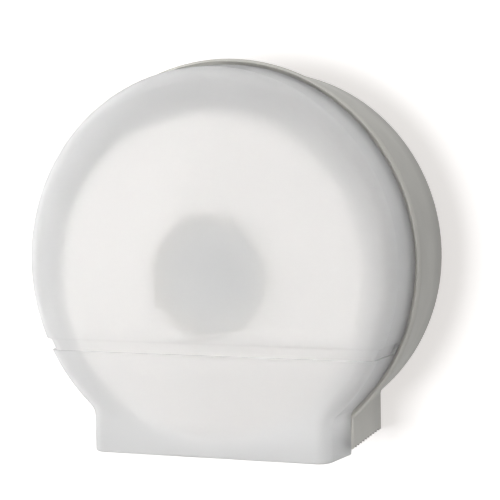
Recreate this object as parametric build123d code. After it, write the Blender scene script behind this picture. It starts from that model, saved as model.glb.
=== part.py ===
from build123d import *
from math import cos, radians, sin, sqrt, tan
import os

# Jumbo toilet roll dispenser for one 9 inch roll, made to be screwed to a wall.
# Millimetres. Z is up, the wall is the plane Y = 0 and the front faces -Y.
# The origin is the centre of the round housing on the wall, midway between the four wall slots.

# Roll of paper on its cardboard core
roll_radius = 114.3
roll_width = 97.0
roll_drop = 8.0  # spindle axis below the housing's centre
core_radius = 43.4
core_wall = 1.4

# Room that the housing leaves round the roll
roll_room = 12.4  # least gap between the roll and the inside of the round cover
roll_front_room = 9.5  # roll's front to the inside of the cover's front
chin_below_roll = 10.3  # bottom of the roll to the bottom edge of the cover

# Tray: a round dish with a square chin, open at the front and below
tray_depth = 86.0  # wall to the front face of the lip
lip_thickness = 2.0
lip_edge = 0.5  # flat front edge of the lip
lip_length = 4.0  # the outward bevel behind that edge
lip_flare = 8.0  # length over which the lip runs out into the wall
lip_step = 1.3  # how far the lip stands out of the wall, at the lip's plane
lip_sink = 0.4  # how deep the lip's thin end dips into the wall
tray_draft = 5.3  # degrees that the wall opens towards the front
tray_wall = 2.8
back_thickness = 3.0
chin_half_width = 92.0  # at the front of the tray
chin_draft = 4.7  # degrees that the tray's chin opens towards the front
chin_overlap = 1.6  # how far the lip runs into the chin's side wall
chin_rise = 3.6  # the tray's chin ends this far above the cover's
neck_radius = 5.0  # inside corner between the circle and the chin
tooth_count = 10  # tear teeth along each side of the chin
tooth_depth = 2.0
tooth_land = 0.8  # flat tip of a tooth
tooth_margin = 4.0  # plain edge before the first tooth and after the last
facet_top = 3.5  # from the lip's lower end down to the tip of the facet beside the cover
facet_drop = 14.0  # below its tip the facet is facet_width wide and facet_length deep
facet_width = 1.6
facet_length = 6.0

# Wall slots and the ribs on the back
slot_spacing_x = 140.0
slot_spacing_z = 110.0
slot_radius = 2.75
slot_length = 11.0
slot_pad_margin = 5.0
slot_pad_height = 2.0
rib_width = 2.0
rib_height = 2.5

# Cover: a translucent shell that closes the front of the tray
cover_gap = 2.0  # shadow gap between the lip and the cover
cover_wall = 2.5
cover_draft = 2.6  # degrees, round part
cover_chin_draft = 5.5  # degrees, sides of the chin
cover_neck_radius = 9.0
cover_nest = 2.7  # how far the rim reaches in behind the lip plane
seat_gap = 0.3
chin_seat_gap = 0.5  # between the chin's rim and the tray's chin
chin_step = 0.8  # from the side of the cover's chin out to the tray's
chin_edge_round = 1.8  # outer bottom edge of the chin
edge_round = 10.0  # rounding of the front's outline
groove_top = -53.6
groove_height = 8.0
groove_depth = 2.4

# Hinge: an ear on each side of the cover's chin turns on a pin in the tray
hinge_setback = 6.0  # hinge axis behind the lip's plane
hinge_rise = 8.1  # hinge axis above the bottom edge of the cover
ear_radius = 5.0
ear_thickness = 4.5
ear_root = 18.0  # length of the ear along the chin's side
ear_clearance = 0.3
ear_side_gap = 0.7  # between the ear and the tray's side wall
hinge_boss_radius = 4.4
pin_radius = 2.5
pin_seat = 2.6  # length of the pin in the tray
pin_head_radius = 4.2
pin_head_height = 1.6
pin_edge_round = 0.8
running_clearance = 0.05
press_clearance = 0.02

# Spindle: a flanged post screwed to the tray's back, and the hub that turns on it
pad_height = 4.0
pad_margin = 2.0
flange_radius = 32.0
flange_height = 4.0
post_radius = 12.0
post_bore = 7.0
post_end_wall = 16.0  # solid front end that takes the retaining screw
shoulder_step = 3.0  # how far the shoulder stands out of the post
shoulder_height = 13.0
gusset_margin = 6.0  # gusset's foot to the flange's edge
gusset_height = 9.0
gusset_width = 2.5
gusset_count = 4
spindle_screw_margin = 7.0  # screw's axis to the flange's edge
spindle_screw_count = 4
washer_margin = 3.0  # how far the thrust washer stands out of the shoulder
washer_height = 1.5
end_play = 0.3
hub_wall = 2.5
hub_clearance = 0.3  # hub to core
hub_rim_overlap = 2.6  # how far the hub's rim stands out of the core
hub_rim_height = 2.0
hub_rim_gap = 4.0  # hub's rim to the spindle's flange
hub_setback = 8.8  # hub's front face behind the roll's front
hub_web = 3.0
hub_tube_wall = 3.0
hub_rib_count = 6
hub_rib_width = 2.0
hub_rib_depth = 14.0
hub_edge_round = 2.0
cap_overhang = 6.0  # how far the cap stands out of the post
cap_height = 3.0
cap_edge_round = 1.5

# Cam lock in the top of the tray
lock_setback = 22.0  # lock's axis behind the lip's plane
lock_seat_depth = 3.0  # seat of the barrel's head below the tray's top
lock_pad_margin = 3.0  # how far the pad stands out of the barrel's head
lock_pad_height = 5.0
barrel_radius = 7.0
barrel_head_radius = 9.5
barrel_head_height = 2.4
barrel_edge_round = 0.8
barrel_length = 15.0
plug_radius = 4.6
plug_head_radius = 6.0
plug_head_height = 1.9
key_slot_width = 1.8
key_slot_length = 7.0
key_slot_depth = 5.0
nut_across_flats = 17.0
nut_height = 3.0
star_washer_radius = 9.8
star_washer_height = 0.8
star_tooth_count = 16
star_notch_depth = 0.8
star_notch_width = 1.0
cam_length = 22.0  # lock axis to the tip
cam_width = 9.0
cam_thickness = 2.0
tang_width = 5.0
cam_play = 0.2

# Catch: a bent strip on the cover that the cam locks
catch_width = 12.0
catch_thickness = 2.0
catch_bend = 2.0
catch_cam_gap = 1.0  # strap below the cam
catch_hook_gap = 1.3  # hook behind the cam
catch_hook_height = 7.0
catch_leg_reach = 6.0  # catch's leg in front of the lip's plane
catch_flange_length = 17.0
catch_flange_drop = 7.2  # catch's flange below the top of the cover
catch_screw_spacing = 6.6

# Screws: head radius, head height and shank radius
pan_head_radius = 3.8
pan_head_height = 2.6
pan_shank_radius = 2.0
pan_length = 8.5
small_head_radius = 3.0
small_head_height = 1.8
small_shank_radius = 1.4
catch_screw_length = 5.6
cam_screw_length = 7.0
retainer_screw_length = 14.0
screw_hole_clearance = 0.3
pilot_clearance = 0.05
screw_tip_gap = 0.6
screw_tip_chamfer = 0.5  # share of the shank's radius
screw_head_round = 0.6  # share of the head's height
drive_width = 0.9
drive_depth = 1.2

# Planes and radii that several pieces share
spindle_z = -roll_drop
pad_front_y = -back_thickness - pad_height
flange_front_y = pad_front_y - flange_height
shoulder_front_y = flange_front_y - shoulder_height
hub_rear_y = shoulder_front_y - washer_height - end_play
hub_rim_y = flange_front_y - hub_rim_gap
roll_rear_y = hub_rim_y - hub_rim_height
roll_front_y = roll_rear_y - roll_width
hub_front_y = roll_front_y + hub_setback
post_front_y = hub_front_y - end_play
front_y = roll_front_y - roll_front_room - cover_wall
ledge_y = -tray_depth + cover_nest + seat_gap
rim_y = -tray_depth + cover_nest
chin_rim_y = -tray_depth - chin_seat_gap

cover_radius = roll_radius + roll_drop + roll_room + cover_wall
lip_bore = cover_radius + cover_gap
lip_radius = lip_bore + lip_thickness
chin_drop = roll_radius + roll_drop + chin_below_roll
tray_bottom = -chin_drop + chin_rise
below_all = -chin_drop - lip_radius
cover_chin_half = chin_half_width - chin_step
hinge_y = -tray_depth + hinge_setback
hinge_z = -chin_drop + hinge_rise
ear_taper = (hinge_setback + ear_radius) * tan(radians(chin_draft))
ear_outer_x = chin_half_width - ear_taper - tray_wall - ear_side_gap
ear_inner_x = ear_outer_x - ear_thickness

core_bore = core_radius - core_wall
hub_radius = core_bore - hub_clearance
hub_rim_radius = core_radius + hub_rim_overlap
shoulder_radius = post_radius + shoulder_step
washer_radius = shoulder_radius + washer_margin
spindle_screw_circle = flange_radius - spindle_screw_margin

lock_y = -tray_depth + lock_setback
lock_seat_z = lip_radius - lip_step - lock_setback * tan(radians(tray_draft)) - lock_seat_depth
lock_pad_z = lock_seat_z - lock_pad_height
barrel_end_z = lock_seat_z - barrel_length
cam_top_z = barrel_end_z - cam_play
cam_bottom_z = cam_top_z - cam_thickness
catch_x = cam_length - catch_width / 2
catch_leg_y = -tray_depth - catch_leg_reach
catch_flange_z = cover_radius - catch_flange_drop

MIN_ALIGN = (Align.CENTER, Align.CENTER, Align.MIN)
MAX_ALIGN = (Align.CENTER, Align.CENTER, Align.MAX)
BAR_ALIGN = (Align.MIN, Align.CENTER, Align.MIN)


def tray_radius(y):
    return lip_radius - lip_step - (tray_depth + y) * tan(radians(tray_draft))


def tray_chin_half(y):
    return chin_half_width - (tray_depth + y) * tan(radians(chin_draft))


def facing(y, x=0.0, z=0.0):
    """A plane at depth y whose normal points out of the wall: local X is X, local Y is Z."""
    return Plane(origin=(x, y, z), x_dir=(1, 0, 0), z_dir=(0, -1, 0))


def front_cylinder(radius, rear_y, front_y_end, x=0.0, z=0.0):
    """A cylinder along Y from rear_y to front_y_end."""
    return facing(rear_y, x, z) * Cylinder(radius, rear_y - front_y_end, align=MIN_ALIGN)


def upright_cylinder(radius, low_z, high_z, x, y):
    return Pos(x, y, low_z) * Cylinder(radius, high_z - low_z, align=MIN_ALIGN)


def side_cylinder(radius, low_x, high_x, y, z):
    """A cylinder along X from low_x to high_x."""
    plane = Plane(origin=(low_x, y, z), x_dir=(0, 1, 0), z_dir=(1, 0, 0))
    return plane * Cylinder(radius, high_x - low_x, align=MIN_ALIGN)


def box_between(low, high):
    size = [high[axis] - low[axis] for axis in range(3)]
    return Pos(*low) * Box(*size, align=(Align.MIN, Align.MIN, Align.MIN))


def polygon(points):
    return make_face(Polyline(*points, close=True))


def housing_form(radii, chin_halves, bottom, rear_y, front_y_end, neck):
    """A cone frustum joined to a tapered chin, with the two neck corners rounded."""
    length = rear_y - front_y_end
    section = polygon([(0, rear_y), (radii[0], rear_y), (radii[1], front_y_end), (0, front_y_end)])
    round_part = revolve(section, Axis.Y)
    plan = polygon(
        [
            (-chin_halves[0], rear_y),
            (chin_halves[0], rear_y),
            (chin_halves[1], front_y_end),
            (-chin_halves[1], front_y_end),
        ]
    )
    chin = extrude(Pos(0, 0, bottom) * plan, -bottom, dir=(0, 0, 1))
    reach = 2 * lip_radius
    form = round_part + chin - box_between((-reach, -reach, bottom - reach), (reach, reach, bottom))
    necks = [
        edge
        for edge in form.edges()
        if abs(edge.bounding_box().size.Y - length) < 0.01 and bottom + 1 < edge.center().Z < 0
    ]
    return fillet(necks, neck)


def tray_lip():
    """The ring that stands out round the tray's open front and runs out into the wall."""
    flare_y = -tray_depth + lip_length + lip_flare
    inner = tray_radius(flare_y) - 2 * tray_wall
    section = polygon(
        [
            (inner, -tray_depth),
            (lip_bore + lip_edge, -tray_depth),
            (lip_radius, -tray_depth + lip_length),
            (tray_radius(flare_y) - lip_sink, flare_y),
            (inner, flare_y),
        ]
    )
    ring = revolve(section, Axis.Y)
    half = chin_half_width - chin_overlap
    return ring - box_between((-half, -2 * tray_depth, below_all), (half, tray_depth, 0))


def chin_side_teeth():
    """The notches between the tear teeth, cut along both sides of the chin's bottom edge."""
    first_y = -tray_depth + tooth_margin
    last_y = -back_thickness - tooth_margin
    pitch = (last_y - first_y) / tooth_count
    half_notch = (pitch - tooth_land) / 2
    notches = []
    for index in range(tooth_count):
        middle = first_y + (index + 0.5) * pitch
        outline = Polyline(
            (0, middle - half_notch, tray_bottom - 1),
            (0, middle - half_notch, tray_bottom),
            (0, middle, tray_bottom + tooth_depth),
            (0, middle + half_notch, tray_bottom),
            (0, middle + half_notch, tray_bottom - 1),
            close=True,
        )
        face = Pos(-2 * chin_half_width, 0, 0) * make_face(outline)
        notches.append(extrude(face, 4 * chin_half_width, dir=(1, 0, 0)))
    return notches


def wall_slot_places():
    half_x = slot_spacing_x / 2
    half_z = slot_spacing_z / 2
    return [(x, z) for x in (-half_x, half_x) for z in (-half_z, half_z)]


def back_details():
    """Slot pads, the spindle's pad and the ribs that run out from it."""
    details = [front_cylinder(flange_radius + pad_margin, -back_thickness / 2, pad_front_y, z=spindle_z)]
    pad_front = -back_thickness - slot_pad_height
    for x, z in wall_slot_places():
        slot = SlotOverall(slot_length + 2 * slot_pad_margin, 2 * (slot_radius + slot_pad_margin))
        details.append(extrude(facing(-back_thickness / 2, x, z) * slot, -pad_front - back_thickness / 2))
    reach = tray_radius(0) - tray_wall
    for angle in (0, 90, 180, 270):
        bar = Box(reach, rib_width, back_thickness / 2 + rib_height, align=BAR_ALIGN)
        details.append(facing(-back_thickness / 2) * Rot(0, 0, angle) * bar)
    return details


def hinge_boss(side):
    inner_x = ear_outer_x + ear_clearance
    outer_x = tray_chin_half(hinge_y + hinge_boss_radius) - tray_wall / 4
    if side < 0:
        return side_cylinder(hinge_boss_radius, -outer_x, -inner_x, hinge_y, hinge_z)
    return side_cylinder(hinge_boss_radius, inner_x, outer_x, hinge_y, hinge_z)


def pin_bore(side):
    """Blind hole in the tray for the hinge pin, open towards the middle."""
    inner_x = ear_outer_x
    outer_x = ear_outer_x + ear_clearance + pin_seat
    radius = pin_radius + press_clearance
    if side < 0:
        return side_cylinder(radius, -outer_x, -inner_x, hinge_y, hinge_z)
    return side_cylinder(radius, inner_x, outer_x, hinge_y, hinge_z)


def chin_facet(side):
    """Wedge cut off the front edge of the chin's side wall, from a point at the top to full width below."""
    tip_z = -sqrt(lip_radius**2 - chin_half_width**2) - facet_top
    slope = (1 / facet_width, -1 / facet_length, -1 / facet_drop)
    reach = 2 * tray_depth
    outside = Plane(origin=(chin_half_width, -tray_depth, tip_z), z_dir=slope)
    wedge = outside * Box(reach, reach, reach, align=MIN_ALIGN)
    wedge &= box_between((0, -reach, below_all), (2 * chin_half_width, 0, tip_z))
    return wedge if side > 0 else mirror(wedge, Plane.YZ)


def chin_front_corners():
    """What comes off the chin's lower front corners, so that the opening cover turns round them."""
    reach = 2 * chin_half_width
    corners = box_between((-reach, -2 * tray_depth, below_all), (reach, hinge_y, hinge_z))
    return corners - side_cylinder(hinge_setback, -reach, reach, hinge_y, hinge_z)


def spindle_screw_places():
    step = 360 / spindle_screw_count
    angles = [radians(step * (index + 0.5)) for index in range(spindle_screw_count)]
    return [(spindle_screw_circle * cos(a), spindle_z + spindle_screw_circle * sin(a)) for a in angles]


def rear_tray():
    outer = housing_form(
        (tray_radius(0), tray_radius(-tray_depth)),
        (tray_chin_half(0), tray_chin_half(-tray_depth)),
        tray_bottom,
        0,
        -tray_depth,
        neck_radius,
    )
    pocket = housing_form(
        (tray_radius(-back_thickness) - tray_wall, tray_radius(-tray_depth) - tray_wall),
        (tray_chin_half(-back_thickness) - tray_wall, tray_chin_half(-tray_depth) - tray_wall),
        below_all,
        -back_thickness,
        -tray_depth,
        neck_radius + tray_wall,
    )
    tray = outer + tray_lip() - pocket - front_cylinder(lip_bore, ledge_y, -tray_depth - 1)
    for detail in back_details():
        tray += detail & outer
    pad_radius = barrel_head_radius + lock_pad_margin
    tray += upright_cylinder(pad_radius, lock_pad_z, lip_radius, 0, lock_y) & outer
    tray += hinge_boss(-1)
    tray += hinge_boss(1)
    cuts = [pin_bore(-1), pin_bore(1), chin_facet(-1), chin_facet(1), chin_front_corners()]
    cuts += chin_side_teeth()
    head_hole = barrel_head_radius + screw_hole_clearance
    cuts.append(upright_cylinder(head_hole, lock_seat_z, 2 * lip_radius, 0, lock_y))
    cuts.append(upright_cylinder(barrel_radius + pilot_clearance, lock_pad_z - 1, lip_radius, 0, lock_y))
    for x, z in wall_slot_places():
        slot = SlotOverall(slot_length, 2 * slot_radius)
        cuts.append(extrude(facing(1, x, z) * slot, 2 + back_thickness + slot_pad_height))
    for x, z in spindle_screw_places():
        pilot = pan_shank_radius + pilot_clearance
        depth = flange_front_y + pan_length + screw_tip_gap
        cuts.append(front_cylinder(pilot, depth, pad_front_y - 1, x, z))
    for cut in cuts:
        tray -= cut
    return tray


def cover_form(inset, bottom):
    """The cover's outside moved inwards by inset: round part and chin, with the front's outline rounded."""
    length = chin_rim_y - front_y
    front_radius = cover_radius - length * tan(radians(cover_draft))
    front_half = cover_chin_half - length * tan(radians(cover_chin_draft))
    form = housing_form(
        (cover_radius - inset, front_radius - inset),
        (cover_chin_half - inset, front_half - inset),
        bottom,
        chin_rim_y,
        front_y + inset,
        cover_neck_radius + inset,
    )
    outline = [
        edge
        for edge in form.edges()
        if abs(edge.center().Y - front_y - inset) < 0.01 and edge.bounding_box().max.Z > bottom + 1
    ]
    return fillet(outline, edge_round - inset)


def groove_space(rear_y=0):
    low_z = groove_top - groove_height
    return box_between((-lip_radius, 2 * front_y, low_z), (lip_radius, rear_y, groove_top))


def groove_band():
    """Where the cover's wall steps inwards behind the groove."""
    low_z = groove_top - groove_height - cover_wall
    return box_between((-lip_radius, 2 * front_y, low_z), (lip_radius, 0, groove_top + cover_wall))


def cover_rim():
    """The part of the round rim that reaches in behind the lip. The groove stops at the lip's plane."""
    groove_floor = cover_radius - groove_depth
    bore = front_cylinder(cover_radius - cover_wall, rim_y, chin_rim_y) - groove_band()
    bore += front_cylinder(groove_floor - cover_wall, rim_y, chin_rim_y)
    ring = front_cylinder(cover_radius, rim_y, chin_rim_y) - bore
    ring -= groove_space(-tray_depth) - front_cylinder(groove_floor, 0, 2 * front_y)
    half = chin_half_width
    return ring - box_between((-half, -2 * tray_depth, below_all), (half, tray_depth, 0))


def hinge_ear(side):
    """Rounded plate from the chin's side wall back to the hinge axis, its root filled out to the wall."""
    root_y = chin_rim_y - ear_root
    low_z, high_z = hinge_z - ear_radius, hinge_z + ear_radius
    ear = side_cylinder(ear_radius, ear_inner_x, ear_outer_x, hinge_y, hinge_z)
    ear += box_between((ear_inner_x, root_y, low_z), (ear_outer_x, hinge_y, high_z))
    root = box_between((ear_inner_x, root_y, low_z), (cover_chin_half, chin_rim_y, high_z))
    ear += root & cover_form(cover_wall / 2, below_all)
    ear -= side_cylinder(pin_radius + running_clearance, ear_inner_x - 1, ear_outer_x + 1, hinge_y, hinge_z)
    return ear if side > 0 else mirror(ear, Plane.YZ)


def catch_screw_places():
    middle_y = catch_leg_y - catch_flange_length / 2
    half = catch_screw_spacing / 2
    return [(catch_x, middle_y - half), (catch_x, middle_y + half)]


def catch_block():
    """Block under the cover's top that the catch is screwed to."""
    low = (catch_x - catch_width / 2, catch_leg_y - catch_flange_length, catch_flange_z)
    high = (catch_x + catch_width / 2, catch_leg_y, cover_radius)
    return box_between(low, high)


def front_cover():
    outer = cover_form(0, -chin_drop)
    bottom_edges = [
        edge
        for edge in outer.edges()
        if edge.bounding_box().max.Z < -chin_drop + 0.01 and edge.center().Y < chin_rim_y - 0.01
    ]
    outer = fillet(bottom_edges, chin_edge_round)
    cavity = cover_form(cover_wall, below_all)
    cavity -= groove_band() - cover_form(groove_depth + cover_wall, below_all)
    cover = outer - (groove_space() - cover_form(groove_depth, below_all)) - cavity
    cover += cover_rim()
    cover += catch_block() & outer
    cover += hinge_ear(-1)
    cover += hinge_ear(1)
    for x, y in catch_screw_places():
        pilot_top = catch_flange_z - catch_thickness + catch_screw_length + screw_tip_gap
        cover -= upright_cylinder(small_shank_radius + pilot_clearance, catch_flange_z - 1, pilot_top, x, y)
    return cover


def pan_screw(head_radius, head_height, shank_radius, length):
    """A pan-head screw along Z: the shank points down from Z = 0 and the head stands above it."""
    head = Cylinder(head_radius, head_height, align=MIN_ALIGN)
    head = fillet(head.edges().sort_by(Axis.Z)[-1], head_height * screw_head_round)
    shank = Pos(0, 0, -length) * Cylinder(shank_radius, length, align=MIN_ALIGN)
    screw = head + chamfer(shank.edges().sort_by(Axis.Z)[0], shank_radius * screw_tip_chamfer)
    slot = Box(head_radius, drive_width, drive_depth, align=MAX_ALIGN)
    for angle in (0, 90):
        screw -= Pos(0, 0, head_height) * Rot(0, 0, angle) * slot
    return screw


def spindle_post():
    flange = front_cylinder(flange_radius, pad_front_y, flange_front_y, z=spindle_z)
    shoulder = front_cylinder(shoulder_radius, flange_front_y, shoulder_front_y, z=spindle_z)
    post = front_cylinder(post_radius, shoulder_front_y, post_front_y, z=spindle_z)
    spindle = flange + shoulder + post
    foot = flange_radius - gusset_margin
    side = polygon([(0, 0), (foot, 0), (shoulder_radius, gusset_height), (0, gusset_height)])
    upright = extrude(Plane.XZ * side, gusset_width / 2, both=True)
    for index in range(gusset_count):
        place = facing(flange_front_y, z=spindle_z) * Rot(0, 0, 360 / gusset_count * index)
        spindle += place * upright
    spindle -= front_cylinder(post_bore, pad_front_y, post_front_y + post_end_wall, z=spindle_z)
    pilot = pan_shank_radius + pilot_clearance
    spindle -= front_cylinder(pilot, post_front_y + post_end_wall - 1, post_front_y, z=spindle_z)
    hole = pan_shank_radius + screw_hole_clearance
    for x, z in spindle_screw_places():
        spindle -= front_cylinder(hole, pad_front_y, flange_front_y, x, z)
    return spindle


def spindle_screws():
    screw = pan_screw(pan_head_radius, pan_head_height, pan_shank_radius, pan_length)
    return Compound([facing(flange_front_y, x, z) * screw for x, z in spindle_screw_places()])


def thrust_washer():
    front = shoulder_front_y - washer_height
    bore = post_radius + screw_hole_clearance
    disc = front_cylinder(washer_radius, shoulder_front_y, front, z=spindle_z)
    return disc - front_cylinder(bore, shoulder_front_y, front, z=spindle_z)


def core_hub():
    """Drum that fills the core: sleeve, rear rim, front web and a ribbed tube that runs on the post."""
    rim = front_cylinder(hub_rim_radius, hub_rim_y, roll_rear_y, z=spindle_z)
    sleeve = front_cylinder(hub_radius, hub_rim_y, hub_front_y, z=spindle_z)
    front_edges = [edge for edge in sleeve.edges() if abs(edge.center().Y - hub_front_y) < 0.01]
    sleeve = fillet(front_edges, hub_edge_round)
    web_rear_y = hub_front_y + hub_web
    hub = rim + sleeve - front_cylinder(hub_radius - hub_wall, hub_rim_y, web_rear_y, z=spindle_z)
    tube_radius = post_radius + running_clearance + hub_tube_wall
    hub += front_cylinder(tube_radius, hub_rear_y, hub_front_y, z=spindle_z)
    for index in range(hub_rib_count):
        length = hub_radius - hub_wall / 2
        rib = Box(length, hub_rib_width, hub_rib_depth, align=BAR_ALIGN)
        place = facing(web_rear_y + hub_rib_depth, z=spindle_z) * Rot(0, 0, 360 / hub_rib_count * index)
        hub += place * rib
    return hub - front_cylinder(post_radius + running_clearance, hub_rim_y, hub_front_y, z=spindle_z)


def retainer_cap():
    cap = front_cylinder(post_radius + cap_overhang, post_front_y, post_front_y - cap_height, z=spindle_z)
    front_edges = [edge for edge in cap.edges() if abs(edge.center().Y - post_front_y + cap_height) < 0.01]
    cap = fillet(front_edges, cap_edge_round)
    hole = pan_shank_radius + screw_hole_clearance
    return cap - front_cylinder(hole, post_front_y, post_front_y - cap_height, z=spindle_z)


def retainer_screw():
    screw = pan_screw(pan_head_radius, pan_head_height, pan_shank_radius, retainer_screw_length)
    return facing(post_front_y - cap_height, z=spindle_z) * screw


def paper_core():
    tube = front_cylinder(core_radius, roll_rear_y, roll_front_y, z=spindle_z)
    return tube - front_cylinder(core_bore, roll_rear_y, roll_front_y, z=spindle_z)


def paper_roll():
    roll = front_cylinder(roll_radius, roll_rear_y, roll_front_y, z=spindle_z)
    return roll - front_cylinder(core_radius, roll_rear_y, roll_front_y, z=spindle_z)


def hinge_pin(side):
    """Headed pin pushed through the ear from inside into the tray."""
    tip_x = ear_outer_x + ear_clearance + pin_seat - screw_tip_gap / 2
    head_x = ear_inner_x - ear_clearance
    shank = side_cylinder(pin_radius, head_x, tip_x, hinge_y, hinge_z)
    head = side_cylinder(pin_head_radius, head_x - pin_head_height, head_x, hinge_y, hinge_z)
    head = fillet(head.edges().sort_by(Axis.X)[0], pin_edge_round)
    pin = shank + head
    return pin if side > 0 else mirror(pin, Plane.YZ)


def lock_barrel():
    head_top = lock_seat_z + barrel_head_height
    head = upright_cylinder(barrel_head_radius, lock_seat_z, head_top, 0, lock_y)
    head = fillet(head.edges().sort_by(Axis.Z)[-1], barrel_edge_round)
    barrel = head + upright_cylinder(barrel_radius, barrel_end_z, lock_seat_z, 0, lock_y)
    barrel -= upright_cylinder(plug_radius + running_clearance, barrel_end_z, head_top, 0, lock_y)
    recess_z = head_top - plug_head_height - running_clearance
    return barrel - upright_cylinder(plug_head_radius + running_clearance, recess_z, head_top, 0, lock_y)


def lock_plug():
    top = lock_seat_z + barrel_head_height
    plug = upright_cylinder(plug_radius, cam_top_z, top - plug_head_height, 0, lock_y)
    plug += upright_cylinder(plug_head_radius, top - plug_head_height, top, 0, lock_y)
    half = tang_width / 2
    plug += box_between((-half, lock_y - half, cam_bottom_z), (half, lock_y + half, cam_top_z))
    plug -= Pos(0, lock_y, top) * Box(key_slot_width, key_slot_length, key_slot_depth, align=MAX_ALIGN)
    pilot = small_shank_radius + pilot_clearance
    pilot_top = cam_bottom_z + cam_screw_length + screw_tip_gap
    return plug - upright_cylinder(pilot, cam_bottom_z, pilot_top, 0, lock_y)


def lock_nut():
    low_z = lock_pad_z - star_washer_height - nut_height
    hexagon = RegularPolygon(nut_across_flats / 2, 6, major_radius=False)
    nut = extrude(Pos(0, lock_y, low_z) * hexagon, nut_height)
    return nut - upright_cylinder(barrel_radius + pilot_clearance, low_z, low_z + nut_height, 0, lock_y)


def star_washer():
    """Toothed washer that keeps the nut from working loose."""
    low_z = lock_pad_z - star_washer_height
    washer = upright_cylinder(star_washer_radius, low_z, lock_pad_z, 0, lock_y)
    washer -= upright_cylinder(barrel_radius + screw_hole_clearance, low_z, lock_pad_z, 0, lock_y)
    for index in range(star_tooth_count):
        notch = Pos(star_washer_radius, 0, 0) * Box(
            2 * star_notch_depth, star_notch_width, 3 * star_washer_height
        )
        washer -= Pos(0, lock_y, low_z) * Rot(0, 0, 360 / star_tooth_count * index) * notch
    return washer


def lock_cam():
    """Lever on the plug's tang. At rest it points forward, past the catch, so the cover can open."""
    end_radius = cam_width / 2
    tip_y = lock_y - cam_length + end_radius
    cam = box_between((-end_radius, tip_y, cam_bottom_z), (end_radius, lock_y, cam_top_z))
    cam += upright_cylinder(end_radius, cam_bottom_z, cam_top_z, 0, lock_y)
    cam += upright_cylinder(end_radius, cam_bottom_z, cam_top_z, 0, tip_y)
    half = tang_width / 2 + running_clearance
    return cam - box_between((-half, lock_y - half, cam_bottom_z), (half, lock_y + half, cam_top_z))


def cam_screw():
    screw = pan_screw(small_head_radius, small_head_height, small_shank_radius, cam_screw_length)
    collar = Cylinder(cam_width / 2, small_head_height / 2, align=MIN_ALIGN)
    return Pos(0, lock_y, cam_bottom_z) * Rot(180, 0, 0) * (screw + collar)


def cover_catch():
    """Bent strip: a flange under the cover's top, a leg down, a strap back under the cam and a hook."""
    half = catch_thickness / 2
    flange_z = catch_flange_z - half
    strap_z = cam_bottom_z - catch_cam_gap - half
    hook_y = lock_y + cam_width / 2 + catch_hook_gap + half
    left_x = catch_x - catch_width / 2
    path = FilletPolyline(
        (left_x, catch_leg_y - catch_flange_length, flange_z),
        (left_x, catch_leg_y, flange_z),
        (left_x, catch_leg_y, strap_z),
        (left_x, hook_y, strap_z),
        (left_x, hook_y, strap_z - half + catch_hook_height),
        radius=catch_bend,
    )
    strip = Rectangle(catch_width, catch_thickness)
    start = Plane(origin=path @ 0, x_dir=(1, 0, 0), z_dir=path % 0)
    catch = Pos(catch_width / 2, 0, 0) * sweep(start * strip, path)
    for x, y in catch_screw_places():
        hole = small_shank_radius + screw_hole_clearance
        catch -= upright_cylinder(hole, flange_z - catch_thickness, flange_z + catch_thickness, x, y)
    return catch


def catch_screws():
    screw = pan_screw(small_head_radius, small_head_height, small_shank_radius, catch_screw_length)
    low_z = catch_flange_z - catch_thickness
    return Compound([Pos(x, y, low_z) * Rot(180, 0, 0) * screw for x, y in catch_screw_places()])


def main():
    pieces = {
        "rear_tray": rear_tray(),
        "spindle_post": spindle_post(),
        "spindle_screws": spindle_screws(),
        "thrust_washer": thrust_washer(),
        "retainer_cap": retainer_cap(),
        "retainer_screw": retainer_screw(),
        "hinge_pin_left": hinge_pin(-1),
        "hinge_pin_right": hinge_pin(1),
        "lock_barrel": lock_barrel(),
        "star_washer": star_washer(),
        "lock_nut": lock_nut(),
        "lock_plug": lock_plug(),
        "lock_cam": lock_cam(),
        "cam_screw": cam_screw(),
        "front_cover": front_cover(),
        "cover_catch": cover_catch(),
        "catch_screws": catch_screws(),
        "core_hub": core_hub(),
        "paper_core": paper_core(),
        "paper_roll": paper_roll(),
    }
    os.makedirs("parts", exist_ok=True)
    for name, piece in pieces.items():
        export_step(piece, f"parts/{name}.step")


main()
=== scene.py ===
"""Looks of a wall-mounted dispenser for one jumbo toilet roll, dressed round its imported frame.

Metres, in the frame's own axes: +X to the right, +Y into the wall, +Z up. The wall is the plane Y = 0.
"""

import logging
import math
from dataclasses import dataclass, field
from enum import Enum

import bpy
import numpy as np
from mathutils import Matrix, Vector


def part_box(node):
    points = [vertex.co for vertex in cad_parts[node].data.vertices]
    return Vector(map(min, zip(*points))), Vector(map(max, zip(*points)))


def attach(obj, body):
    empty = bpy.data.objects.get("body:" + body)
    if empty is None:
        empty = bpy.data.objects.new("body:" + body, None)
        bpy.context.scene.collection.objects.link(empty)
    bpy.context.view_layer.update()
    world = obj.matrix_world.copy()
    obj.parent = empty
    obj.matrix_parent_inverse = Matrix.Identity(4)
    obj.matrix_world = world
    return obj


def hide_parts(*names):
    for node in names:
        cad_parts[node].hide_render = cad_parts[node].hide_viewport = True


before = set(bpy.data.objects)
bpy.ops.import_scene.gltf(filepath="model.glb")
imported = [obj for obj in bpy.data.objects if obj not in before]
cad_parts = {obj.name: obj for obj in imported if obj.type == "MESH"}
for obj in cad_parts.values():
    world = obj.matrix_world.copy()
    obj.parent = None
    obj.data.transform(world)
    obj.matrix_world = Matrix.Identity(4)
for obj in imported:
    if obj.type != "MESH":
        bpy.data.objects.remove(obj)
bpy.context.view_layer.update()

LOG = logging.getLogger("dispenser")
MM = 0.001
PHOTO_SIDE = 500

Colour = tuple[float, float, float]
Socket = bpy.types.NodeSocket
WHITE: Colour = (1.0, 1.0, 1.0)

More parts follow.
